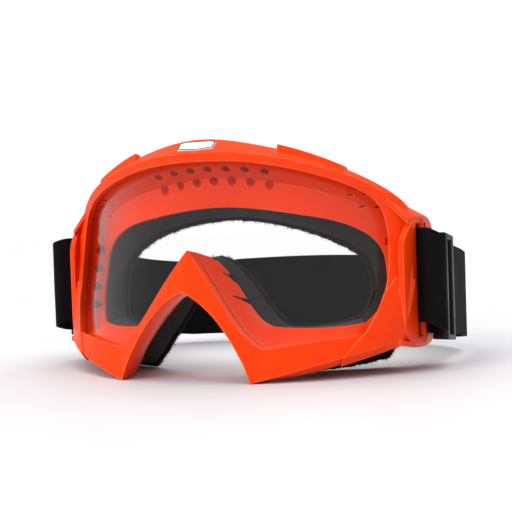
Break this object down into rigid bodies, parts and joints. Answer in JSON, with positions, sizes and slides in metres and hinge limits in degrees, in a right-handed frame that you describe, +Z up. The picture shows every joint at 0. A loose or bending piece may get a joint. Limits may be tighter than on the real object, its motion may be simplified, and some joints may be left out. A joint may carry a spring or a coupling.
{
  "type": "motorcycle goggles",
  "caption": "Off-road motorcycle goggles: moulded frame with nose arch and side wings, clear curved lens, face foam, webbing strap with slide adjusters.",
  "frame": {"origin": "under the middle of the whole, on the surface the goggles stand on", "axes": "+X across the face towards the wearer's left, -Y the way the lens looks, +Z up"},
  "size_m": [0.2002, 0.1586, 0.1032],
  "materials": {
    "frame_moulding": "satin moulded thermoplastic rubber",
    "lens_clear": "clear hard-coated polycarbonate",
    "badge_white": "glossy, bare",
    "foam_black": "open-cell foam",
    "fleece_black": "brushed fleece",
    "filter_foam": "coarse reticulated foam",
    "webbing_black": "woven elastic webbing",
    "slider_plastic": "semi-gloss acetal",
    "thread_black": "polyester thread"
  },
  "bodies": {
    "root": {"frame": "frame_moulding", "lens": "lens_clear", "badge_plate": "badge_white", "face_foam": "foam_black", "face_fleece": "fleece_black", "top_vent_filter": "filter_foam", "strap_rear": "webbing_black", "corner_filter_right": "filter_foam", "corner_filter_left": "filter_foam", "side_filter_right": "filter_foam", "side_filter_left": "filter_foam", "strap_turn_right": "webbing_black", "strap_turn_left": "webbing_black"},
    "slide_right": {"slider_right": "slider_plastic", "strap_end_right": "webbing_black", "end_stitching_right": "thread_black"},
    "slide_left": {"slider_left": "slider_plastic", "strap_end_left": "webbing_black", "end_stitching_left": "thread_black"}
  },
  "joints": [
    {"name": "slider_travel_right", "type": "slide", "parent": "root", "child": "slide_right", "axis": [-0.0693, 0.9905, -0.1189], "range_m": [0, 0.03]},
    {"name": "slider_travel_left", "type": "slide", "parent": "root", "child": "slide_left", "axis": [0.0693, 0.9905, -0.1189], "range_m": [0, 0.03]}
  ]
}
